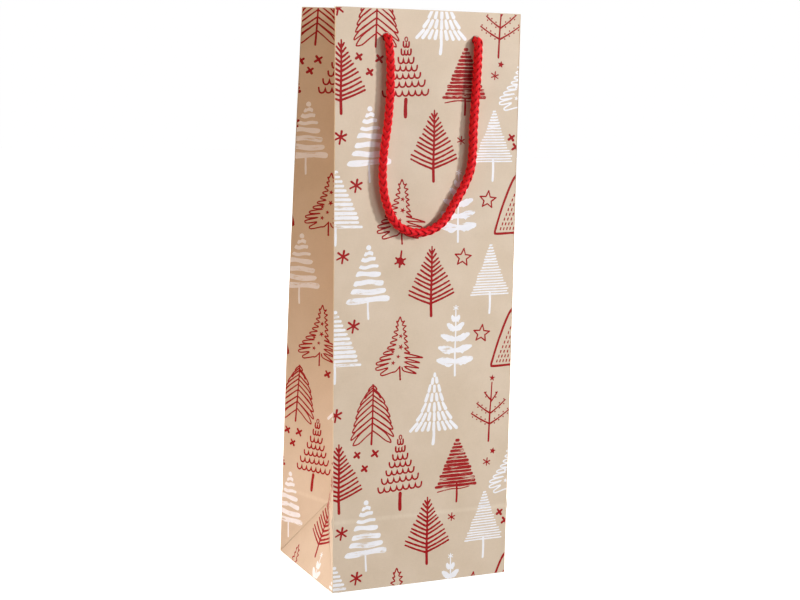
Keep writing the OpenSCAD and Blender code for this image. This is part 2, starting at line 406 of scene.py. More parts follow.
def band_tree():
    """Fir of broad bands with blunt ends under a ball."""
    rng = random.Random(44)
    s = [("white", stroke(curve([(0.6, 0), (0.2, 6), (0, 13)], 3), 1.2, 1.3, rng, 0.1)),
         ("white", blob(0.3, 44.0, 1.7, 1.6, rng, 12))]
    for y, hl, hr, t in ((40.4, 2.6, 3.4, 2.4), (36.8, 4.4, 5.0, 2.6), (32.3, 5.8, 7.0, 2.2), (27.8, 7.8, 8.6, 3.0),
                         (22.4, 9.2, 10.4, 3.3), (17.0, 11.0, 12.0, 3.4), (11.8, 14.0, 14.4, 3.6)):
        top, bottom = [], []
        p1, p2, sl = rng.uniform(0, 6), rng.uniform(0, 6), rng.uniform(0.0, 0.045)
        n = 16
        for i in range(n + 1):
            f = math.sin(math.pi * (i / n - 0.5))
            x = f * (hr if f > 0 else hl)
            end = (1 - abs(f) ** 22) ** 0.5 if abs(f) < 0.9999 else 0.5
            mid = y + sl * x + 0.3 * math.sin(2.6 * f + p1)
            top.append((x + 0.5 * (1 - f) * 0.6, mid + t * 0.5 * end + 0.22 * math.sin(5 * f + p2)))
            bottom.append((x - 0.2, mid - t * 0.5 * end + 0.25 * math.sin(4 * f + p1)))
        s.append(("white_dry" if y < 25 else "white", top + bottom[::-1]))
    return s


def scribble_tree(kind):
    """Fir drawn as loose zigzags on both sides, open in the middle, with a few stars inside."""
    rng = random.Random(52)
    s = [stroke(curve([(0.6, -0.2), (0.3, 4), (0.2, 8.2)], 3), 1.2, 0.9, rng, 0.1)]
    n = 11
    for sd in (-1, 1):
        pts = [(sd * 0.2, 39.2), (sd * 1.4, 36.2)]
        for i in range(n):
            t = i / (n - 1)
            y = 35.6 - 30.0 * t + 0.25 * rng.uniform(-1, 1)
            wob = 1 + 0.07 * rng.uniform(-1, 1)
            if sd < 0:
                out = (2.2 + 13.4 * min(t / 0.84, 1) ** 1.5) * wob * (0.76 if i == n - 1 else 1)
                inner = 1.2 + 6.4 * min(t / 0.84, 1) ** 2.2 - (2.6 if i == n - 1 else 0)
                rise, fat = 1.0 - 2.4 * t, 0.25 + 0.95 * t
                pts += [(-out * 0.86, y + rise + fat), (-out, y + rise), (-out * 0.9, y + rise - fat)]
                pts.append((-inner, y - 1.5 + 0.5 * t))
            else:
                out = (3.2 + 5.4 * t if t < 0.65 else 13.6 - 10.5 * (t - 0.7)) * wob
                pts += [(out, y + 1.3 - 3.6 * t), (out - 0.4, y + 0.9 - 3.6 * t)]
                pts.append((1.6 + 1.5 * min(3 * t, 1), y - 1.2 + 0.4 * t))
        pts.append((sd * (2.6 if sd < 0 else 1.6), 5.2 if sd < 0 else 7.4))
        if sd < 0:
            pts.append((0.2, 8.0))
        s.append(stroke(curve(pts, 4), 0.88, 0.88, rng, 0.12))
    for x, y, r in ((0.6, 27.2, 1.7), (0.7, 20.4, 2.0), (-1.0, 14.4, 1.5), (-4.6, 17.6, 1.5), (-4.3, 10.6, 1.6)):
        s.append(small_star(x, y, r, rng.uniform(0, 1)))
    return [(kind, p) for p in s]


def leaf_tree():
    """Stem with pairs of broad ragged leaves and a star on top."""
    rng = random.Random(61)
    s = [("white", stroke(curve([(0.3, 0), (0, 14), (0.2, 28), (0, 42)], 5), 1.3, 0.8, rng, 0.1))]
    for y, reach, t, lift in ((8.8, 12.4, 7.0, 1.6), (16.0, 11.4, 5.8, 2.4), (23.4, 9.8, 5.2, 2.8), (30.0, 5.8, 5.6, 3.0), (35.8, 2.9, 5.2, 1.6)):
        for sd in (-1, 1):
            up, down = [], []
            n = 9
            for i in range(n + 1):
                f = i / n
                x = sd * (0.2 + reach * f)
                mid = y + lift * f ** 1.4
                body = math.sin(math.pi * min(f * 0.86 + 0.10, 1)) ** 0.7
                up.append((x, mid + t * 0.36 * body * (1 + 0.20 * rng.uniform(-1, 1)) + 0.3))
                down.append((x, mid - t * 0.42 * body * (1 + 0.24 * rng.uniform(-1, 1))))
            s.append(("white_dry" if y < 20 else "white", up + down[::-1]))
    for i in range(3):
        q = math.pi * (i / 3 + 0.17)
        s.append(("white", stroke([(-1.7 * math.cos(q), 43.2 - 1.7 * math.sin(q)), (1.7 * math.cos(q), 43.2 + 1.7 * math.sin(q))], 0.6, None, rng)))
    return s


def dotted_tree():
    """Rounded tree outline filled with rows of ticks."""
    rng = random.Random(70)
    out = curve([(-1, 39.5), (-6.0, 33.5), (-12.2, 18), (-16.4, 4.4), (-17.0, 1.2), (-15.2, 0.4), (0, 0.9), (15.4, 0.6),
                 (17.0, 1.6), (16.2, 5), (12.4, 18), (6.4, 33), (1, 39.4), (-1, 39.5)], 5)
    s = [stroke(out, 1.5, 1.5, rng, 0.08)]
    for r in range(11):
        y = 3.6 + 3.0 * r
        half = 14.6 - 0.40 * y - 0.0006 * y ** 2
        n = max(int(half * 2 / 2.15), 1)
        for j in range(n + 1):
            x = -half + 2 * half * j / n
            s.append(stroke([(x - 0.18, y - 0.62), (x + 0.18, y + 0.62)], 0.85, 0.85, rng, 0.1))
    s.append(stroke([(0, 0.5), (0.2, -6)], 1.3, 1.2, rng))
    return [("red", p) for p in s]


def tick_cross(seed, r=2.1):
    rng = random.Random(seed)
    t = rng.uniform(-0.3, 0.3)
    return [("red", stroke([(-r * math.cos(q + t), -r * math.sin(q + t)), (0.15, 0), (r * math.cos(q + t), r * math.sin(q + t))], 1.75, 1.45, rng, 0.14))
            for q in (0.75, 2.35)]


def tick_star(seed, r=4.1, arms=3, w=1.3):
    rng = random.Random(seed)
    out = []
    for i in range(arms):
        q = math.pi * i / arms + 0.35 + rng.uniform(-0.12, 0.12)
        a, b = r * rng.uniform(0.75, 1.1), r * rng.uniform(0.75, 1.1)
        out.append(("red", stroke([(-a * math.cos(q), -a * math.sin(q)), (0, 0), (b * math.cos(q), b * math.sin(q))], w * 0.9, w * 1.1, rng, 0.15)))
    return out


def open_star(seed, r=5.5):
    rng = random.Random(seed)
    pts = [((r if i % 2 == 0 else r * 0.46) * math.sin(0.1 + math.pi * i / 5) * (1 + 0.06 * rng.uniform(-1, 1)),
            (r if i % 2 == 0 else r * 0.46) * math.cos(0.1 + math.pi * i / 5) * (1 + 0.06 * rng.uniform(-1, 1))) for i in range(10)]
    out = []
    for i in range(10):
        out.append(("red", stroke([pts[i], pts[(i + 1) % 10]], 0.95, 0.9, rng, 0.1)))
    return out


def splash(seed):
    rng = random.Random(seed)
    out = [("red", blob(0, 0, 2.3, 2.3, rng, 10, 0.15))]
    for i in range(6):
        q = 2 * math.pi * i / 6 + 0.4
        a = 3.6 if i != 1 else 6.4
        out.append(("red", stroke([(0, 0), (a * math.cos(q), a * math.sin(q))], 1.5, 1.2, rng)))
    return out


MOTIFS = {"branch": branch_tree(), "loop": loop_tree(), "dash": dash_tree(), "twig": twig_tree(), "scallop": scallop_tree(),
          "redline": red_line_tree(), "whiteline": white_line_tree(), "fine": fine_line_tree(), "band": band_tree(),
          "scribble": scribble_tree("red"), "whitescribble": scribble_tree("white"), "leaf": leaf_tree(), "dotted": dotted_tree(),
          "cross": tick_cross(3), "cross2": tick_cross(4, 2.4), "tick": tick_star(6), "tick2": tick_star(9, 2.8, 3, 0.85),
          "star": open_star(2), "dot": [("red", small_star(0, 0, 2.3, 0.2, 0.5))], "splash": splash(5)}

# Rows of trees, from the foot: row kind and the height of the foot of its trees.
ROWS = [("D", -28), ("C", 12), ("B", 51), ("A", 90), ("D", 133), ("C", 172), ("D", 218), ("C", 256), ("B", 297), ("A", 334)]
KINDS = {"A": ["loop", "dash", "twig"], "B": ["branch", "scallop", "redline", "whitescribble"],
         "C": ["band", "branch", "fine"], "D": ["whiteline", "scribble", "leaf", "dotted"]}
# Places across the sheet, in mm from the front left edge: front 0 to 120, left side -90 to 0,
# right side 120 to 210, back -210 to -90.
PLACES = {
    "A": [("loop", 26), ("dash", 67.5), ("twig", 106.4), ("loop", -80), ("dash", -38), ("loop", 150), ("dash", 190),
          ("twig", -112), ("dash", -150), ("loop", -188)],
    "B": [("branch", 4), ("scallop", 45), ("redline", 84), ("whitescribble", 123), ("scallop", -62), ("redline", -28),
          ("branch", 160), ("scallop", 196), ("redline", -102), ("whitescribble", -136), ("branch", -172), ("scallop", -206)],
    "C": [("band", 22), ("branch", 64), ("fine", 104), ("band", -83), ("branch", -38), ("band", 146), ("branch", 186),
          ("fine", -118), ("branch", -156), ("band", -194)],
    "D": [("whiteline", 1), ("scribble", 43.5), ("leaf", 81), ("dotted", 123.5), ("scribble", -65.5), ("leaf", -30),
          ("whiteline", 162), ("scribble", 200), ("dotted", -106), ("leaf", -144), ("scribble", -184)],
}
EXTRAS = [
    ("cross", 15, 331), ("cross2", 28, 330), ("cross", 22, 322), ("dot", 107.6, 328.4), ("tick2", 103.8, 321.2), ("tick", 2, 359),
    ("tick", 4, 283), ("tick2", 82, 281), ("cross", 116, 283), ("cross2", 119, 277), ("tick", 14, 254), ("star", 101, 244),
    ("tick", 6, 211), ("splash", 43, 207), ("star", 85, 208), ("tick", 13, 168), ("star", 99, 159),
    ("tick", 2, 113), ("cross", 16, 87), ("cross2", 28, 87), ("cross", 21, 78), ("dot", 109, 82), ("tick2", 105, 75),
    ("tick", 6, 38), ("tick2", 81, 41), ("cross", 115, 41), ("cross2", 119, 35), ("tick", 16, 8), ("star", 97, -3),
    ("cross", -89, 327), ("cross2", -78, 328), ("cross", -83, 321), ("cross", -87, 86), ("cross2", -77, 86), ("cross", -82, 78),
    ("tick", -48, 318), ("tick2", -45, 283), ("tick", -50, 246), ("star", -24, 208), ("tick", -49, 205), ("tick", -47, 160),
    ("cross", -58, 128), ("tick2", -13, 130), ("cross", -44, 72), 
    ("tick", 128, 322), ("cross", 170, 330), ("cross2", 178, 322), ("tick2", 166, 284), ("star", 143, 245), ("tick", 182, 246),
    ("splash", 166, 208), ("tick", 128, 205), ("star", 144, 160), ("tick", 182, 160), ("cross", 170, 84), ("cross2", 178, 92),
    ("tick", 128, 78), ("tick2", 166, 40), ("tick", 205, 38), ("tick", 144, 8),
    ("tick", -92, 288), ("cross", -132, 328), ("cross2", -124, 322), ("tick", -170, 326), ("tick2", -136, 284), ("tick", -176, 284),
    ("star", -124, 245), ("tick", -164, 244), ("splash", -176, 207), ("tick", -136, 208), ("star", -126, 160), ("tick", -164, 160),
    ("cross", -130, 84), ("cross2", -122, 76), ("tick", -168, 82), ("tick2", -136, 40), ("tick", -176, 40), ("tick", -126, 6),
]


def printed(u0, u1, v0, v1):
    """Ink outlines that reach into a stretch of the sheet, each with its ink."""
    found = []

    def place(name, u, v):
        for ink, pts in MOTIFS[name]:
            if len(pts) < 3:
                continue
            a = np.array(pts, float) + (u, v)
            lo, hi = a.min(0), a.max(0)
            if lo[0] < u1 and hi[0] > u0 and lo[1] < v1 and hi[1] > v0:
                found.append((ink, a))
    for kind, v in ROWS:
        for name, u in PLACES[kind]:
            lift = {"loop": 3, "branch": 0, "whiteline": 0, "dotted": 4}.get(name, 0)
            place(name, u, v + lift)
    for name, u, v in EXTRAS:
        place(name, u, v)
    return found


def winding(poly, px, py):
    """Winding number of a closed outline round each point."""
    x0, y0 = poly[:, 0], poly[:, 1]
    x1, y1 = np.roll(x0, -1), np.roll(y0, -1)
    X, Y = px[:, None], py[:, None]
    cross = (x1 - x0) * (Y - y0) - (X - x0) * (y1 - y0)
    up = (y0 <= Y) & (y1 > Y) & (cross > 0)
    down = (y0 > Y) & (y1 <= Y) & (cross < 0)
    return up.sum(1) - down.sum(1)


INK_INDEX = {"red": 1, "white": 2, "red_dry": 3, "white_dry": 4}


def dense(points, step):
    """The outline's sides cut to short pieces."""
    out = []
    n = len(points)
    for i in range(n):
        a, b = np.array(points[i], float), np.array(points[(i + 1) % n], float)
        k = max(int(round(np.linalg.norm(b - a) / step)), 1)
        out += [tuple(a + (b - a) * j / k) for j in range(k)]
    return out


def triangulate(outline, holes, inks, step):
    """Cuts a flat shape into triangles along the ink outlines. Returns 2-D points, triangles and an ink for each."""
    verts, edges = [], []

    def ring(points):
        s = len(verts)
        verts.extend(Vector((float(p[0]), float(p[1]))) for p in points)
        n = len(points)
        edges.extend((s + i, s + (i + 1) % n) for i in range(n))
    ring(outline)
    for h in holes:
        ring(h)
    for _, p in inks:
        ring(p)
    lo, hi = np.array(outline).min(0), np.array(outline).max(0)
    poly = np.array(outline, float)
    gx = np.arange(lo[0] + step / 2, hi[0], step)
    gy = np.arange(lo[1] + step / 2, hi[1], step)
    g = np.array([(x + (0.25 * step if j % 2 else -0.25 * step), y) for j, y in enumerate(gy) for x in gx])
    if len(g):
        inside = winding(poly, g[:, 0], g[:, 1]) != 0
        a, b = poly, np.roll(poly, -1, 0)
        d = b - a
        t = np.clip(((g[:, None] - a) * d).sum(2) / np.maximum((d * d).sum(1), 1e-12), 0, 1)
        near = np.linalg.norm(g[:, None] - (a + t[..., None] * d), axis=2).min(1) < step * 0.3
        for h in holes:
            inside &= winding(np.array(h, float), g[:, 0], g[:, 1]) == 0
        verts.extend(Vector((float(p[0]), float(p[1]))) for p in g[inside & ~near])
    res = delaunay_2d_cdt(verts, edges, [], 0, 1e-4, True)
    pts = np.array([(v.x, v.y) for v in res[0]])
    tris = np.array([f for f in res[2] if len(f) == 3], int)
    c = pts[tris].mean(1)
    keep = winding(poly, c[:, 0], c[:, 1]) != 0
    for h in holes:
        keep &= winding(np.array(h, float), c[:, 0], c[:, 1]) == 0
    area = np.abs(np.cross(pts[tris[:, 1]] - pts[tris[:, 0]], pts[tris[:, 2]] - pts[tris[:, 0]]))
    keep &= area > 1e-7
    tris, c = tris[keep], c[keep]
    ink = np.zeros(len(tris), int)
    order = np.argsort(c[:, 0])
    sorted_x = c[order, 0]
    for name, p in inks:
        lo, hi = p.min(0), p.max(0)
        i0, i1 = np.searchsorted(sorted_x, (lo[0], hi[0]))
        idx = order[i0:i1]
        idx = idx[(c[idx, 1] > lo[1]) & (c[idx, 1] < hi[1])]
        if len(idx):
            w = winding(p, c[idx, 0], c[idx, 1]) != 0
            ink[idx[w]] = INK_INDEX[name]
    return pts, tris, ink, res[3], len(outline) + sum(len(h) for h in holes)


def border(tris):
    """Directed edges that only one triangle has."""
    seen = {}
    for t in tris:
        for i in range(3):
            a, b = int(t[i]), int(t[(i + 1) % 3])
            seen[(a, b)] = seen.get((a, b), 0) + 1
    return [e for e in seen if (e[1], e[0]) not in seen]


def paper(name, outline, place, holes=(), inks=(), thick=0.3, step=7.0, materials=(), uv0=(0, 0), plain_out=False, edge_step=5.0):
    """A sheet of paper: place(u, v, t) puts a point of the flat sheet in space, t inwards from the outer face."""
    ring = dense(outline, edge_step)
    holes = [[(cx + r * math.cos(q), cy + r * math.sin(q)) for q in np.linspace(0, 2 * math.pi, 33)[:-1]] for cx, cy, r in holes]
    pts, tris, ink, _, _ = triangulate(ring, holes, inks, step)
    rim = border(tris)
    on_rim = sorted({a for e in rim for a in e})
    slot = {a: i for i, a in enumerate(on_rim)}
    # the inner face has the same rim and a plain grid
    v2 = [Vector((float(pts[a][0]), float(pts[a][1]))) for a in on_rim]
    e2 = [(slot[a], slot[b]) for a, b in rim]
    lo, hi = pts.min(0), pts.max(0)
    poly = np.array(ring, float)
    s2 = step * 1.2
    g = np.array([(x, y) for y in np.arange(lo[1] + s2 / 2, hi[1], s2) for x in np.arange(lo[0] + s2 / 2, hi[0], s2)])
    if len(g):
        inside = winding(poly, g[:, 0], g[:, 1]) != 0
        for h in holes:
            inside &= winding(np.array(h, float), g[:, 0], g[:, 1]) == 0
        v2 += [Vector((float(p[0]), float(p[1]))) for p in g[inside]]
    res = delaunay_2d_cdt(v2, e2, [], 0, 1e-5, True)
    p2 = np.array([(v.x, v.y) for v in res[0]])
    t2 = np.array([f for f in res[2] if len(f) == 3], int)
    c = p2[t2].mean(1)
    keep = winding(poly, c[:, 0], c[:, 1]) != 0
    for h in holes:
        keep &= winding(np.array(h, float), c[:, 0], c[:, 1]) == 0
    t2 = t2[keep]
    back_of = {}
    for i, src in enumerate(res[3]):
        for o in src:
            back_of[o] = i
    n1 = len(pts)
    verts = [place(u, v, 0.0) for u, v in pts] + [place(u, v, thick) for u, v in p2]
    uvs = [((u + uv0[0]) * 0.01, (v + uv0[1]) * 0.01) for u, v in pts] + [((u + uv0[0]) * 0.01 + 5, (v + uv0[1]) * 0.01) for u, v in p2]
    faces = [tuple(t) for t in tris]
    mats = list(ink)
    faces += [(int(t[2]) + n1, int(t[1]) + n1, int(t[0]) + n1) for t in t2]
    mats += [5] * len(t2)
    for a, b in rim:
        if slot[a] in back_of and slot[b] in back_of:
            faces.append((b, a, back_of[slot[a]] + n1, back_of[slot[b]] + n1))
            mats.append(6)
    used = sorted({i for f in faces for i in f})
    renum = {o: i for i, o in enumerate(used)}
    return new_object(name, [verts[i] for i in used], [tuple(renum[i] for i in f) for f in faces],
                      [uvs[i] for i in used], materials, mats)


# ---------------------------------------------------------------- materials
def srgb(r, g, b):
    def lin(c):
        c /= 255
        return c / 12.92 if c <= 0.04045 else ((c + 0.055) / 1.055) ** 2.4
    return (lin(r), lin(g), lin(b), 1)


class Nodes:
    """Shorthand for wiring a material."""

    def __init__(self, name):
        self.mat = bpy.data.materials.new(name)
        self.mat.use_nodes = True
        self.nt = self.mat.node_tree
        self.bsdf = self.nt.nodes["Principled BSDF"]

    def add(self, kind, **props):
        n = self.nt.nodes.new(kind)
        for k, v in props.items():
            setattr(n, k, v)
        return n

    def link(self, a, b):
        self.nt.links.new(a, b)

    def uv(self, sx=1.0, sy=1.0, rot=0.0):
        u = self.add("ShaderNodeUVMap", uv_map="paper")
        m = self.add("ShaderNodeMapping")
        m.inputs["Scale"].default_value = (sx, sy, 1)
        m.inputs["Rotation"].default_value = (0, 0, rot)
        self.link(u.outputs[0], m.inputs[0])
        return m.outputs[0]

    def noise(self, vec, scale, detail=3.0, rough=0.5, distort=0.0):
        n = self.add("ShaderNodeTexNoise")
        n.inputs["Scale"].default_value = scale
        n.inputs["Detail"].default_value = detail
        n.inputs["Roughness"].default_value = rough
        n.inputs["Distortion"].default_value = distort
        if vec is not None:
            self.link(vec, n.inputs["Vector"])
        return n.outputs["Fac"]

    def ramp(self, fac, stops):
        r = self.add("ShaderNodeValToRGB")
        e = r.color_ramp.elements
        while len(e) > 1:
            e.remove(e[-1])
        e[0].position, e[0].color = stops[0]
        for p, c in stops[1:]:
            e.new(p).color = c
        self.link(fac, r.inputs[0])
        return r.outputs[0]

    def mix(self, fac, a, b, mode="MIX"):
        m = self.add("ShaderNodeMix", data_type="RGBA", blend_type=mode)
        for s, v in ((m.inputs["Factor"], fac), (m.inputs["A"], a), (m.inputs["B"], b)):
            if isinstance(v, bpy.types.NodeSocket):
                self.link(v, s)
            else:
                s.default_value = v
        return m.outputs["Result"]

    def math(self, op, a, b=0.0):
        m = self.add("ShaderNodeMath", operation=op)
        for s, v in ((m.inputs[0], a), (m.inputs[1], b)):
            if isinstance(v, bpy.types.NodeSocket):
                self.link(v, s)
            else:
                s.default_value = v
        return m.outputs[0]

    def bump(self, height, strength, distance=0.0002, normal=None):
        b = self.add("ShaderNodeBump")
        b.inputs["Strength"].default_value = strength
        b.inputs["Distance"].default_value = distance
        self.link(height, b.inputs["Height"])
        if normal is not None:
            self.link(normal, b.inputs["Normal"])
        return b.outputs[0]


GREY = lambda v: (v, v, v, 1)


def paper_base(n, light, dark, fleck, crease=True):
    """Kraft colour with clouds, fibres and a few flecks. Returns the colour and the fibre height."""
    cloud = n.noise(n.uv(), 3.2, 4, 0.55)
    base = n.mix(n.ramp(cloud, [(0.35, GREY(0)), (0.68, GREY(1))]), dark, light)
    fib = n.noise(n.uv(9, 1.3), 22, 4, 0.65, 0.4)
    fib2 = n.noise(n.uv(1.4, 7), 26, 3, 0.6, 0.3)
    fibres = n.math("MULTIPLY", n.math("ADD", fib, fib2), 0.5)
    tone = n.ramp(fibres, [(0.33, GREY(0.955)), (0.5, GREY(1.0)), (0.66, GREY(1.035))])
    base = n.mix(1.0, base, tone, "MULTIPLY")
    spots = n.add("ShaderNodeTexVoronoi")
    spots.inputs["Scale"].default_value = 46
    n.link(n.uv(1, 0.62, 0.5), spots.inputs["Vector"])
    near = n.ramp(spots.outputs["Distance"], [(0.0, GREY(1)), (0.055, GREY(0.6)), (0.10, GREY(0))])
    some = n.ramp(n.noise(n.uv(), 30, 1, 0.5), [(0.56, GREY(0)), (0.62, GREY(1))])
    base = n.mix(n.math("MULTIPLY", n.math("MULTIPLY", near, some), 0.55), base, fleck)
    if crease:
        sep = n.add("ShaderNodeSeparateXYZ")
        u = n.add("ShaderNodeUVMap", uv_map="paper")
        n.link(u.outputs[0], sep.inputs[0])
        off = n.math("ABSOLUTE", n.math("SUBTRACT", sep.outputs[1], 0.45))
        line = n.ramp(off, [(0.0, GREY(1)), (0.008, GREY(0.75)), (0.02, GREY(0))])
        worn = n.ramp(n.noise(n.uv(5, 1), 9, 3, 0.6), [(0.3, GREY(0.35)), (0.7, GREY(1))])
        base = n.mix(n.math("MULTIPLY", n.math("MULTIPLY", line, worn), 0.30), base, srgb(240, 228, 208))
    return base, fibres


KRAFT_L, KRAFT_D, FLECK = srgb(212, 194, 173), srgb(204, 185, 162), srgb(186, 158, 122)
IN_L, IN_D = srgb(219, 193, 156), srgb(208, 180, 141)


def kraft(name, inside=False):
    n = Nodes(name)
    col, fib = paper_base(n, IN_L if inside else KRAFT_L, IN_D if inside else KRAFT_D, FLECK, crease=not inside)
    n.link(col, n.bsdf.inputs["Base Color"])
    rough = n.ramp(fib, [(0.35, GREY(0.60 if inside else 0.50)), (0.65, GREY(0.72 if inside else 0.60))])
    n.link(rough, n.bsdf.inputs["Roughness"])
    n.bsdf.inputs["Specular IOR Level"].default_value = 0.35
    n.link(n.bump(fib, 0.22 if inside else 0.14), n.bsdf.inputs["Normal"])
    return n.mat


def ink(name, colour, cover, dry):
    """Printed ink: thin over the fibres, and broken up like a dry brush where dry is set."""
    n = Nodes(name)
    col, fib = paper_base(n, KRAFT_L, KRAFT_D, FLECK, crease=True)
    thin = n.ramp(fib, [(0.30, GREY(cover - 0.04)), (0.60, GREY(cover))])
    if dry:
        streak = n.noise(n.uv(1.0, 9.0), 8, 5, 0.72, 0.35)
        patch = n.noise(n.uv(1.6, 1.6), 7, 2, 0.5)
        s = n.ramp(n.math("MULTIPLY", streak, n.math("ADD", patch, 0.52)), [(0.37, GREY(0.12)), (0.42, GREY(1))])
        thin = n.math("MULTIPLY", thin, s)
    shade = n.ramp(n.noise(n.uv(), 12, 3, 0.6), [(0.3, GREY(0.94)), (0.7, GREY(1.04))])
    inked = n.mix(1.0, colour, shade, "MULTIPLY")
    n.link(n.mix(thin, col, inked), n.bsdf.inputs["Base Color"])
    n.link(n.ramp(fib, [(0.35, GREY(0.42)), (0.65, GREY(0.52))]), n.bsdf.inputs["Roughness"])
    n.bsdf.inputs["Specular IOR Level"].default_value = 0.09
    n.link(n.bump(fib, 0.10), n.bsdf.inputs["Normal"])
    return n.mat


RED, WHITE = srgb(155, 3, 16), srgb(243, 244, 250)
mat_kraft = kraft("kraft_print")
mat_inside = kraft("kraft_inside", True)
mat_red, mat_white = ink("ink_red", RED, 1.0, False), ink("ink_white", WHITE, 0.95, False)
mat_red_dry, mat_white_dry = ink("ink_red_dry", RED, 0.99, True), ink("ink_white_dry", WHITE, 0.95, True)


def cut_edge():
    n = Nodes("paper_edge")
    g = n.noise(n.uv(), 60, 3, 0.6)
    n.link(n.ramp(g, [(0.3, srgb(222, 204, 176)), (0.7, srgb(236, 221, 197))]), n.bsdf.inputs["Base Color"])
    n.bsdf.inputs["Roughness"].default_value = 0.85
    n.link(n.bump(g, 0.3), n.bsdf.inputs["Normal"])
    return n.mat


mat_edge = cut_edge()
SHEET = [mat_kraft, mat_red, mat_white, mat_red_dry, mat_white_dry, mat_inside, mat_edge]
PLAIN = [mat_inside, mat_inside, mat_inside, mat_inside, mat_inside, mat_inside, mat_edge]


def card_material():
    n = Nodes("grey_card")
    tc = n.add("ShaderNodeTexCoord")
    g = n.noise(tc.outputs["Object"], 900, 4, 0.7)
    big = n.noise(tc.outputs["Object"], 60, 3, 0.6)
    col = n.mix(n.ramp(big, [(0.35, GREY(0)), (0.7, GREY(1))]), srgb(170, 160, 145), srgb(188, 178, 162))
    col = n.mix(1.0, col, n.ramp(g, [(0.3, GREY(0.86)), (0.5, GREY(1)), (0.72, GREY(1.10))]), "MULTIPLY")
    n.link(col, n.bsdf.inputs["Base Color"])
    n.bsdf.inputs["Roughness"].default_value = 0.9
    n.link(n.bump(g, 0.35), n.bsdf.inputs["Normal"])
    return n.mat


mat_card = card_material()


def rope_material(name, base, dark, light):
    n = Nodes(name)
    u = n.add("ShaderNodeUVMap", uv_map="paper")
    m = n.add("ShaderNodeMapping")
    m.inputs["Scale"].default_value = (1.0, 26.0, 1.0)
    n.link(u.outputs[0], m.inputs[0])
    fib = n.noise(m.outputs[0], 6, 3, 0.6, 0.15)
    tone = n.ramp(fib, [(0.30, dark), (0.46, base), (0.72, light)])
    sep = n.add("ShaderNodeSeparateXYZ")
    n.link(u.outputs[0], sep.inputs[0])
    # Painted shade: each strand is darkened to srgb(150, 1, 12) towards its edges, where it meets the grooves between
    # strands; the crest along its middle keeps the full tone.
    painted_groove_shade_fac = n.math("SINE", n.math("MULTIPLY", sep.outputs[1], 2 * math.pi))
    tone = n.mix(n.ramp(painted_groove_shade_fac, [(0.0, GREY(0)), (0.85, GREY(1))]), srgb(150, 1, 12), tone)
    n.link(tone, n.bsdf.inputs["Base Color"])
    n.link(n.ramp(fib, [(0.3, GREY(0.62)), (0.7, GREY(0.42))]), n.bsdf.inputs["Roughness"])
    n.bsdf.inputs["Specular IOR Level"].default_value = 0.20
    n.bsdf.inputs["Sheen Weight"].default_value = 0.03
    n.bsdf.inputs["Sheen Roughness"].default_value = 0.4
    n.bsdf.inputs["Sheen Tint"].default_value = (1.0, 0.35, 0.32, 1)
    n.link(n.bump(fib, 0.5, 0.0003), n.bsdf.inputs["Normal"])
    return n.mat


mat_rope = rope_material("red_rope", srgb(226, 1, 22), srgb(194, 1, 15), srgb(246, 30, 42))
# The core is coloured much darker than the strands: painted shade where it shows in the gaps between them.
mat_shaded_core = rope_material("red_rope_core_painted_shade", srgb(120, 4, 12), srgb(90, 2, 8), srgb(150, 10, 16))


# ---------------------------------------------------------------- rope
def frames_along(P, first):
    """Tangents and a turning-free pair of normals along a line."""
    P = np.array(P, float)
    T = np.gradient(P, axis=0)
    T /= np.linalg.norm(T, axis=1)[:, None]
    N = np.zeros_like(P)
    n = np.array(first, float)
    for i, t in enumerate(T):
        n = n - t * (n @ t)
        n /= np.linalg.norm(n)
        N[i] = n
    return T, N, np.cross(T, N)


def resample(P, step):
    P = np.array(P, float)
    s = np.concatenate([[0], np.cumsum(np.linalg.norm(np.diff(P, axis=0), axis=1))])
    n = int(round(s[-1] / step)) + 1
    q = np.linspace(0, s[-1], n)
    return np.stack([np.interp(q, s, P[:, k]) for k in range(3)], 1), q


def spline(points, steps=12):
    out = []
    n = len(points)
    P = [np.array(p, float) for p in points]
    for i in range(n - 1):
        a, b, c, d = P[max(i - 1, 0)], P[i], P[i + 1], P[min(i + 2, n - 1)]
        for k in range(steps):
            t = k / steps
            out.append(0.5 * (2 * b + (c - a) * t + (2 * a - 5 * b + 4 * c - d) * t * t + (3 * b - a - 3 * c + d) * t ** 3))
    out.append(P[-1])
    return out


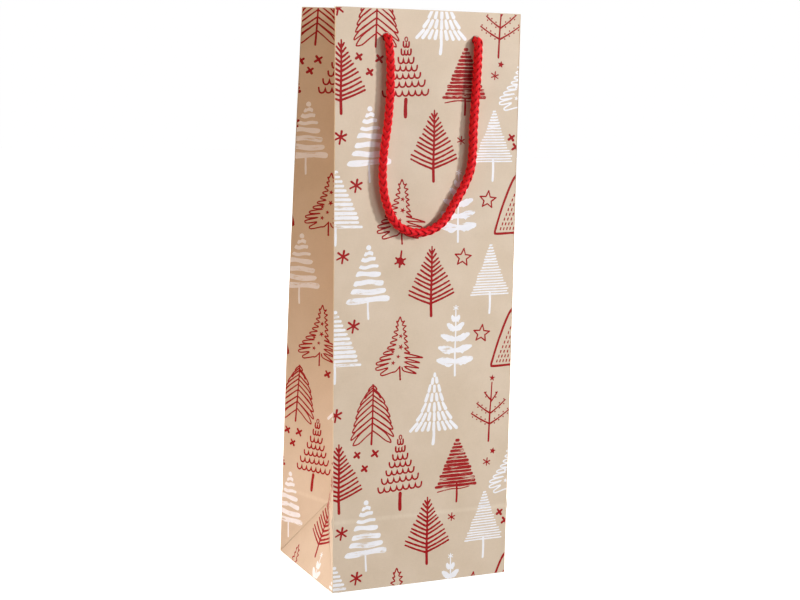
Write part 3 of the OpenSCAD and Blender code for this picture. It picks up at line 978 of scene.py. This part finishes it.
def braid(name, line, first, diameter=5.8, pitch=18.5, step=0.62, sides=8, taper_ends=0.0, phase=0.0, narrow=0.0):
    """Eight strands, four each way, over two and under two, round a core. line is in mm."""
    P, s = resample([settle(p) for p in line], step)
    T, N, B = frames_along(P, first)
    k = diameter / 5.0
    R0, A, hw, ht = 1.46 * k, 0.42 * k, 1.02 * k, 0.64 * k
    total = s[-1]
    verts, faces, uvs = [], [], []

    def squeeze(x):
        e = min(x, total - x)
        if narrow:
            f = min(max((e - 4.0) / 4.0, 0.0), 1.0)
            return narrow + (1 - narrow) * f * f * (3 - 2 * f)
        if taper_ends <= 0:
            return 1.0
        return min(1.0, 0.25 + 0.75 * math.sin(min(e / taper_ends, 1) * math.pi / 2))
    for turn in (1, -1):
        for j in range(4):
            C = np.zeros_like(P)
            for i in range(len(P)):
                phi = turn * (2 * math.pi * s[i] / pitch + phase) + j * math.pi / 2 + (0 if turn > 0 else math.pi / 4)
                r = (R0 + turn * A * math.cos(2 * phi + 0.6)) * squeeze(s[i])
                C[i] = P[i] + r * (math.cos(phi) * N[i] + math.sin(phi) * B[i])
            t2 = np.gradient(C, axis=0)
            t2 /= np.linalg.norm(t2, axis=1)[:, None]
            base = len(verts)
            for i in range(len(P)):
                out = C[i] - P[i]
                out -= t2[i] * (out @ t2[i])
                out /= np.linalg.norm(out) or 1.0
                side = np.cross(t2[i], out)
                q = squeeze(s[i])
                for m in range(sides):
                    a = 2 * math.pi * m / sides
                    verts.append(C[i] + q * (hw * math.cos(a) * side + ht * math.sin(a) * out))
                    uvs.append((s[i] * 0.02 + 3.3 * j + (0 if turn > 0 else 17), m / sides))
            n = len(P)
            for i in range(n - 1):
                for m in range(sides):
                    a, b = base + i * sides + m, base + i * sides + (m + 1) % sides
                    faces.append((a, b, b + sides, a + sides))
            faces.append(tuple(base + m for m in range(sides))[::-1])
            faces.append(tuple(base + (n - 1) * sides + m for m in range(sides)))
    mats = [0] * len(faces)
    # A core tube inside the strands, in the darker core material: painted shade for the gaps between strands.
    base = len(verts)
    cs = 8
    idx = list(range(0, len(P), 4))
    if idx[-1] != len(P) - 1:
        idx.append(len(P) - 1)
    for i in idx:
        for m in range(cs):
            a = 2 * math.pi * m / cs
            verts.append(P[i] + 1.25 * k * squeeze(s[i]) * (math.cos(a) * N[i] + math.sin(a) * B[i]))
            uvs.append((s[i] * 0.02, m / cs))
    for i in range(len(idx) - 1):
        for m in range(cs):
            a, b = base + i * cs + m, base + i * cs + (m + 1) % cs
            faces.append((a, b, b + cs, a + cs))
            mats.append(1)
    faces.append(tuple(base + m for m in range(cs))[::-1])
    faces.append(tuple(base + (len(idx) - 1) * cs + m for m in range(cs)))
    mats += [1, 1]
    ob = new_object(name, verts, faces, uvs, [mat_rope, mat_shaded_core], mats, bend=False)
    return ob, P


LOOP_ROUTE = [(-27.6, 0, 0), (-27.2, 0.1, 6), (-26.6, 0.3, 14), (-26.4, 0.5, 26), (-26.8, 0.6, 38), (-28.0, 0.7, 52),
              (-30.0, 0.7, 66), (-30.9, 0.8, 79), (-30.4, 0.8, 90), (-28.2, 0.8, 100), (-23.2, 0.9, 110.6), (-15, 1, 116.6),
              (-6, 1, 118), (2.4, 1, 116), (10, 0.9, 110.4), (17, 0.8, 99.6), (23, 0.8, 89), (26.8, 0.8, 79),
              (28, 0.7, 67), (28.1, 0.6, 55), (28.7, 0.5, 42), (29.4, 0.5, 30), (30.0, 0.3, 18), (30.3, 0.1, 8), (30.4, 0, 0)]


def panel_frame(side):
    """Hole-height point on the outer face of a panel, its outward normal and its upward direction."""
    a = LEAN[side]
    n = np.array([0, side * math.cos(a), math.sin(a)])
    u = np.array([0, -side * math.sin(a), math.cos(a)])
    o = np.array([0, side * HALF, 0]) + u * HOLE_L
    return o, n, u


def handle(side):
    o, n, u = panel_frame(side)
    swing = o + n * OUT
    tan = math.tan(LEAN[side])
    hung = [swing + np.array([x, side * (out + down * tan), -down]) for x, out, down in LOOP_ROUTE]
    body = hung[1:-1]
    ends = []
    for sgn in (-1, 1):
        h = o + np.array([HOLES[sgn], 0, 0])
        ends.append([h - n * 3.0, h - n * 1.2, h + n * 0.7, h + n * 2.6 - u * 0.5, h + n * 3.5 - u * 2.3])
    pts = ends[0] + body + ends[1][::-1]
    return spline(pts, 10), swing, n, u


def finish_rope(side, node, name):
    line, swing, n, u = handle(side)
    ob, path = braid(name, line, u, phase=0.4 if side < 0 else 1.3, narrow=0.86)
    total = float(np.linalg.norm(np.diff(path, axis=0), axis=1).sum())
    start = np.array(settle(swing - n * (OUT + 0.3) + u * 0.8)) * MM
    end = np.array(settle(swing + n * 0.6 - u * 8.5)) * MM
    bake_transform(ob)
    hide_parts(node)
    return ob, path, total


def knot(side, sgn, name):
    """Stopper knot: in from the hole, back round itself, and a hanging tail."""
    o, n, u = panel_frame(side)
    x = np.array([1.0, 0, 0])
    h = o + x * HOLES[sgn]
    inw = -n

    def at(a, b, c):
        """a inwards from the outer face, b across, c up"""
        return h + inw * a + x * (b * sgn) + u * c
    pts = [at(1.4, 0, 0), at(3.2, 0, 0.1), at(5.4, 0.5, 0.9), at(7.6, 0.6, 2.3), at(8.9, -0.7, 3.1), at(8.8, -2.6, 1.6),
           at(7.6, -3.6, -0.9), at(5.6, -3.0, -3.1), at(3.9, -0.6, -3.9), at(3.3, 2.4, -2.9), at(3.6, 3.9, -0.2),
           at(4.7, 3.2, 2.6), at(5.9, 0.9, 3.7), at(6.6, -1.2, 2.4), at(7.0, -1.0, -0.2), at(7.2, -0.1, -2.8),
           at(6.6, 0.3, -5.4), at(5.6, 0.4, -8.4), at(5.0, 0.5, -11.6), at(4.8, 0.9, -15.0), at(4.8, 1.1, -18.2)]
    ob, _ = braid(name, spline(pts, 8), x, diameter=4.3, pitch=13.0, step=0.62, sides=6, taper_ends=1.4, phase=0.9 * sgn)
    return ob


ropes = {}
for side, panel, loop in ((-1, "front_wall", "front_loop"), (1, "back_wall", "back_loop")):
    word = "front" if side < 0 else "back"
    ropes[side] = finish_rope(side, word + "_handle", word + "_rope")
    for sgn, lr in ((-1, "left"), (1, "right")):
        k = knot(side, sgn, f"{word}_{lr}_rope_knot")
        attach(k, panel)
        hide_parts(f"{word}_{lr}_knot")
    ob, path, total = ropes[side]

# ---------------------------------------------------------------- panels
TOP = H - 0.55


def panel(side, name, node, body):
    u0 = 0 if side < 0 else -210

    def place(u, v, t):
        x = u - 60 if side < 0 else -(u + 150)
        return panel_point(side, x, v, t)
    outline = [(u0, 0.25), (u0 + 120, 0.25), (u0 + 120, TOP), (u0, TOP)]
    holes = [(u0 + 60 + (hx if side < 0 else -hx), HOLE_L, HOLE_R) for hx in HOLES.values()]
    ob = paper(name, outline, place, holes, printed(u0, u0 + 120, 0, H), materials=SHEET)
    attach(ob, body)
    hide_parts(node)
    return ob


front = panel(-1, "front_paper", "front_panel", "front_wall")
back = panel(1, "back_paper", "back_panel", "back_wall")


# ---------------------------------------------------------------- gusset halves
def gusset(sx, side, name, node):
    """Outer face: u along the sheet. The left front half runs from 0 to -45, the left back half from -90 to -45."""
    def w_of(u):
        if sx < 0:
            return -u if side < 0 else u + 90
        return u - 120 if side < 0 else 210 - u
    edge = {(-1, -1): 0, (-1, 1): -90, (1, -1): 120, (1, 1): 210}[(sx, side)]
    mid = -45 if sx < 0 else 165

    def place(u, v, t):
        return gusset_point(sx, side, w_of(u), v, t)
    outline = [(edge, 0.3), (mid, 45.3), (mid, TOP), (edge, TOP)]
    lo, hi = min(edge, mid), max(edge, mid)
    ob = paper(name, outline, place, [], printed(lo, hi, 0, H), step=6.0, materials=SHEET)
    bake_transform(ob)
    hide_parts(node)
    return ob


SIDES = {-1: "left", 1: "right"}
ENDS = {-1: "front", 1: "back"}
for sx in (-1, 1):
    for side in (-1, 1):
        a, b = SIDES[sx], ENDS[side]
        gusset(sx, side, f"{a}_{b}_gusset_paper", f"{a}_{b}_gusset")


# ---------------------------------------------------------------- slanting folds at the foot of the sides
def base_fold(sx):
    u_mid = -45 if sx < 0 else 165
    outline = [(u_mid - 45, 0.0), (u_mid + 45, 0.0), (u_mid, 45.0)]

    def place(u, v, t):
        d = (u_mid - u) if sx < 0 else (u - u_mid)
        return fold_point(sx, d, v, t)
    lo, hi = u_mid - 45, u_mid + 45
    ob = paper(f"{SIDES[sx]}_foot_fold_paper", outline, place, [], printed(lo, hi, 0, 46), step=6.0, materials=SHEET)
    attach(ob, f"{SIDES[sx]}_foot_fold")
    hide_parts(f"{SIDES[sx]}_base_fold")


base_fold(-1)
base_fold(1)


# ---------------------------------------------------------------- hems, turned in over the rim
def rim_profile():
    """(l, t) points of the fold over the rim, then down the inner face."""
    out = [(TOP, 0.0), (H - 0.33, 0.03), (H - 0.16, 0.12), (H - 0.04, 0.30), (H, 0.6), (H - 0.04, 0.9), (H - 0.16, 1.08), (H - 0.33, 1.17)]
    return out + [(H - 1.0, STACK), (H - 9, STACK), (H - 14, STACK), (H - 20, STACK), (H - 30, STACK), (HEM_L, STACK)]


def hem(side, name, node, body):
    prof = rim_profile()
    xs = np.linspace(-60, 60, 61)
    verts, faces, uvs, mats = [], [], [], []
    thick = 0.28
    grid = {}

    def width(i):
        l, t = prof[i]
        return 60.0 if t < 0.7 else 56.0 + 4.0 * max(0.0, (1.2 - t) / 0.5)
    lens = [0.0]
    for a, b in zip(prof, prof[1:]):
        lens.append(lens[-1] + math.dist(a, b))
    # normals of the profile, to give the paper its thickness inside the fold
    nrm = []
    for i in range(len(prof)):
        a, b = prof[max(i - 1, 0)], prof[min(i + 1, len(prof) - 1)]
        d = unit((b[0] - a[0], b[1] - a[1]))
        nrm.append((-d[1], d[0]))
    for layer in (0, 1):
        for i, (l, t) in enumerate(prof):
            k = thick * layer
            li, ti = l + nrm[i][0] * k * 0.9, t + nrm[i][1] * k * 0.9
            if layer and i == 0:
                li, ti = l, 0.28
            for j, x in enumerate(xs):
                xx = x * width(i) / 60
                verts.append(panel_point(side, xx, li, ti))
                uvs.append(((xx + 60) * 0.01, (360 + lens[i]) * 0.01 + (0 if layer == 0 else 3)))
                grid[layer, i, j] = len(verts) - 1
    n, m = len(prof), len(xs)
    for i in range(n - 1):
        for j in range(m - 1):
            faces.append((grid[0, i, j], grid[0, i, j + 1], grid[0, i + 1, j + 1], grid[0, i + 1, j]))
            mats.append(0 if i < 4 else 1)
            faces.append((grid[1, i, j], grid[1, i + 1, j], grid[1, i + 1, j + 1], grid[1, i, j + 1]))
            mats.append(1)
    for i in range(n - 1):
        faces.append((grid[0, i, 0], grid[0, i + 1, 0], grid[1, i + 1, 0], grid[1, i, 0]))
        faces.append((grid[0, i, m - 1], grid[1, i, m - 1], grid[1, i + 1, m - 1], grid[0, i + 1, m - 1]))
        mats += [2, 2]
    for j in range(m - 1):
        faces.append((grid[0, 0, j], grid[1, 0, j], grid[1, 0, j + 1], grid[0, 0, j + 1]))
        faces.append((grid[0, n - 1, j], grid[0, n - 1, j + 1], grid[1, n - 1, j + 1], grid[1, n - 1, j]))
        mats += [2, 2]
    ob = new_object(name, verts, faces, uvs, [mat_kraft, mat_inside, mat_edge], mats)
    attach(ob, body)
    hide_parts(node)


hem(-1, "front_hem_paper", "front_hem", "front_wall")
hem(1, "back_hem_paper", "back_hem", "back_wall")


def gusset_hem(sx, side, name, node):
    prof = [(TOP, 0.0), (H - 0.25, 0.04), (H - 0.08, 0.16), (H, 0.32), (H - 0.06, 0.48), (H - 0.25, 0.58), (H - 1, 0.62),
            (H - 10, 0.62), (H - 20, 0.62), (H - 30, 0.62), (HEM_L, 0.62)]
    ws = np.linspace(0.0, 45.0, 16)
    verts, faces, uvs, mats = [], [], [], []
    grid = {}
    for layer in (0, 1):
        for i, (l, t) in enumerate(prof):
            for j, w in enumerate(ws):
                w2 = w if i < 3 else 1.6 + (w - 1.6) * (1.0 if w > 1.6 else 0.0)
                ll, tt = l, t
                if layer:
                    tt = t - 0.28 if i > 3 else (0.28 if i == 0 else 0.32)
                    ll = min(l, H - 0.22) if i < 7 else l
                verts.append(gusset_point(sx, side, w2, ll, tt))
                uvs.append(((w + 45 * side) * 0.01, (l + 3.7) * 0.01 + 3 * layer))
                grid[layer, i, j] = len(verts) - 1
    n, m = len(prof), len(ws)
    for i in range(n - 1):
        for j in range(m - 1):
            faces.append((grid[0, i, j], grid[0, i, j + 1], grid[0, i + 1, j + 1], grid[0, i + 1, j]))
            faces.append((grid[1, i, j], grid[1, i + 1, j], grid[1, i + 1, j + 1], grid[1, i, j + 1]))
            mats += [0 if i < 3 else 1, 1]
        faces.append((grid[0, i, 0], grid[0, i + 1, 0], grid[1, i + 1, 0], grid[1, i, 0]))
        faces.append((grid[0, i, m - 1], grid[1, i, m - 1], grid[1, i + 1, m - 1], grid[0, i + 1, m - 1]))
        mats += [2, 2]
    for j in range(m - 1):
        faces.append((grid[0, 0, j], grid[1, 0, j], grid[1, 0, j + 1], grid[0, 0, j + 1]))
        faces.append((grid[0, n - 1, j], grid[0, n - 1, j + 1], grid[1, n - 1, j + 1], grid[1, n - 1, j]))
        mats += [2, 2]
    ob = new_object(name, verts, faces, uvs, [mat_kraft, mat_inside, mat_edge], mats)
    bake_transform(ob)
    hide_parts(node)


for sx in (-1, 1):
    for side in (-1, 1):
        a, b = SIDES[sx], ENDS[side]
        gusset_hem(sx, side, f"{a}_{b}_gusset_hem_paper", f"{a}_{b}_gusset_hem")


# ---------------------------------------------------------------- seam, bottom flaps, board
def flat_sheet(name, outline, z, thick, body, node, materials, lift=None, step=9.0, uv0=(0, 0)):
    def place(u, v, t):
        zz = z + t
        if lift:
            zz += lift(u, v)
        return (u, v, zz)
    ob = paper(name, outline, place, [], [], thick=thick, step=step, materials=materials, uv0=uv0)
    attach(ob, body)
    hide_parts(node)
    return ob


OUTER = [mat_kraft, mat_red, mat_white, mat_red_dry, mat_white_dry, mat_inside, mat_edge]
flat_sheet("bottom_flap_front_paper", [(-59.8, -44.8), (59.8, -44.8), (58.6, 17.2), (57.4, 18.0), (-57.4, 18.0), (-58.6, 17.2)], 0.0, 0.28,
           "base", "bottom_flap_front", OUTER, lambda u, v: 0.02 * max(0.0, wave(u, v, 3, 14)))
flat_sheet("bottom_flap_back_paper", [(-58.2, -8.9), (58.2, -8.9), (58.2, 44.6), (-58.2, 44.6)], 0.3, 0.28,
           "base", "bottom_flap_back", OUTER)
for sx in (-1, 1):
    o = [(sx * 58.4, -42.8), (sx * 58.4, 42.8), (sx * 34, 17.2), (sx * 34, -17.2)]
    flat_sheet(f"bottom_flap_{SIDES[sx]}_paper", o, 0.6, 0.28, "base", f"bottom_flap_{SIDES[sx]}", PLAIN)


def rounded(hx, hy, r, n=6):
    pts = []
    for cx, cy, q0 in ((hx - r, hy - r, 0), (-hx + r, hy - r, 90), (-hx + r, -hy + r, 180), (hx - r, -hy + r, 270)):
        pts += [(cx + r * math.cos(math.radians(q0 + 90 * i / n)), cy + r * math.sin(math.radians(q0 + 90 * i / n))) for i in range(n + 1)]
    return pts


def board():
    """Loose grey board: pressed edges slightly rounded, a little bowed."""
    def bow(x, y):
        return 0.05 * (x / 58) ** 2 + 0.04 * wave(x, y, 4, 30)
    verts, faces, uvs = [], [], []
    n = len(rounded(58.5, 43.0, 2.0))
    levels = [(0.35, 0.90), (0.12, 0.94), (0.0, 1.06), (0.0, 1.74), (0.12, 1.86), (0.35, 1.90)]
    for inset, z in levels:
        for x, y in rounded(58.5 - inset, 43.0 - inset, 2.0):
            verts.append((x, y, z + (bow(x, y) if z > 1.5 else 0)))
            uvs.append((x * 0.01, y * 0.01))
    for i in range(len(levels) - 1):
        for j in range(n):
            a, b = i * n + j, i * n + (j + 1) % n
            faces.append((a, b, b + n, a + n))
    # top and bottom as grids fanned to the rim
    for top in (0, 1):
        z = 1.90 if top else 0.90
        base = (len(levels) - 1) * n if top else 0
        ring2 = [Vector((verts[base + j][0], verts[base + j][1])) for j in range(n)]
        g = [Vector((x, y)) for x in np.arange(-52, 53, 8.0) for y in np.arange(-37, 38, 8.0)]
        res = delaunay_2d_cdt(ring2 + g, [(j, (j + 1) % n) for j in range(n)], [], 0, 1e-6, True)
        ids = {}
        for i, src in enumerate(res[3]):
            if src and src[0] < n:
                ids[i] = base + src[0]
            else:
                x, y = res[0][i]
                ids[i] = len(verts)
                verts.append((x, y, z + (bow(x, y) if top else 0)))
                uvs.append((x * 0.01, y * 0.01))
        poly = np.array([(p.x, p.y) for p in ring2])
        for f in res[2]:
            c = np.mean([(res[0][i].x, res[0][i].y) for i in f], 0)
            if winding(poly, np.array([c[0]]), np.array([c[1]]))[0] != 0:
                faces.append(tuple(ids[i] for i in f))
    ob = new_object("loose_base_board", verts, faces, uvs, [mat_card])
    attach(ob, "base")
    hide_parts("base_board")


board()


def seam():
    """Overlap where the sheet's ends are glued, inside the back panel near its right edge."""
    def place(u, v, t):
        return panel_point(1, u, v, 0.3 + t + 0.04 * (1 + wave(u, v, 5, 9)))
    ob = paper("side_seam_paper", [(40, 3.4), (56, 3.4), (56, 317), (40, 317)], place, [], [], thick=0.28, step=8, materials=PLAIN)
    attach(ob, "back_wall")
    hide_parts("side_seam_flap")


seam()
for name in ("front_rim_card", "back_rim_card"):
    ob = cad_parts[name]
    ob.data.materials.clear()
    ob.data.materials.append(mat_card)


# ---------------------------------------------------------------- floor, light, world
def stage_material(name, glow, diffuse):
    m = bpy.data.materials.new(name)
    m.use_nodes = True
    b = m.node_tree.nodes["Principled BSDF"]
    b.inputs["Base Color"].default_value = (diffuse, diffuse, diffuse, 1)
    b.inputs["Roughness"].default_value = 0.95
    b.inputs["Specular IOR Level"].default_value = 0.1
    b.inputs["Emission Color"].default_value = (1, 1, 1, 1)
    b.inputs["Emission Strength"].default_value = glow
    return m


def stage():
    """A pale floor that glows a little, a white dome behind it, and soft lights."""
    s = 3.2
    ring = [(s * math.cos(2 * math.pi * i / 48), s * math.sin(2 * math.pi * i / 48)) for i in range(48)]
    me = bpy.data.meshes.new("floor")
    me.from_pydata([(x, y, -0.0006) for x, y in ring], [], [tuple(range(48))])
    floor = bpy.data.objects.new("floor", me)
    me.materials.append(stage_material("floor", 0.88, 0.80))
    verts, faces = [], []
    for k in range(8):
        q = math.pi / 2 * k / 8
        verts += [(x * math.cos(q), y * math.cos(q), -0.0006 + s * math.sin(q)) for x, y in ring]
    verts.append((0, 0, s))
    for k in range(7):
        faces += [(k * 48 + i, k * 48 + (i + 1) % 48, (k + 1) * 48 + (i + 1) % 48, (k + 1) * 48 + i) for i in range(48)]
    faces += [(7 * 48 + i, 7 * 48 + (i + 1) % 48, 8 * 48) for i in range(48)]
    me = bpy.data.meshes.new("backdrop")
    me.from_pydata(verts, [], faces)
    dome = bpy.data.objects.new("backdrop", me)
    me.materials.append(stage_material("backdrop", 1.0, 0.0))
    for ob in (floor, dome):
        scene.collection.objects.link(ob)
        ob.visible_diffuse = False
    dome.visible_shadow = False
    dome.visible_glossy = False
    world = bpy.data.worlds.new("studio")
    scene.world = world
    world.use_nodes = True
    bg = world.node_tree.nodes["Background"]
    bg.inputs["Color"].default_value = (1.0, 1.0, 1.0, 1)
    bg.inputs["Strength"].default_value = 0.17

    def area(name, pos, target, size, power, colour=(1, 1, 1)):
        d = bpy.data.lights.new(name, "AREA")
        d.shape = "DISK"
        d.size = size
        d.energy = power
        d.color = colour
        o = bpy.data.objects.new(name, d)
        scene.collection.objects.link(o)
        o.location = pos
        o.rotation_euler = (Vector(target) - Vector(pos)).to_track_quat("-Z", "Y").to_euler()
        o.visible_camera = False
    area("key", (1.15, -1.15, 0.75), (0, 0, 0.2), 0.17, 23)
    area("front_soft", (0.95, -2.0, 0.50), (0, 0, 0.16), 1.0, 12.5)
    area("left_soft", (-1.8, -0.15, 0.55), (0, 0, 0.15), 1.1, 12.3, (1.0, 0.53, 0.20))
    area("left_high", (-0.60, -0.15, 0.46), (-0.06, 0, 0.1), 0.25, 0.52, (1.0, 0.80, 0.60))
    area("right_soft", (1.6, 0.5, 0.8), (0, 0, 0.2), 1.2, 10, (1.0, 0.90, 0.80))
    area("back_soft", (-0.2, 1.8, 0.9), (0, 0, 0.2), 1.2, 17, (1.0, 0.95, 0.88))
    area("top_soft", (0.0, 0.0, 1.9), (0, 0, 0), 1.0, 6.5)
    area("left_low", (-0.19, -0.03, 0.03), (-0.06, 0, 0.01), 0.08, 0.13, (1.0, 0.96, 0.97))


stage()
scene.view_settings.view_transform = "Standard"
scene.view_settings.look = "None"
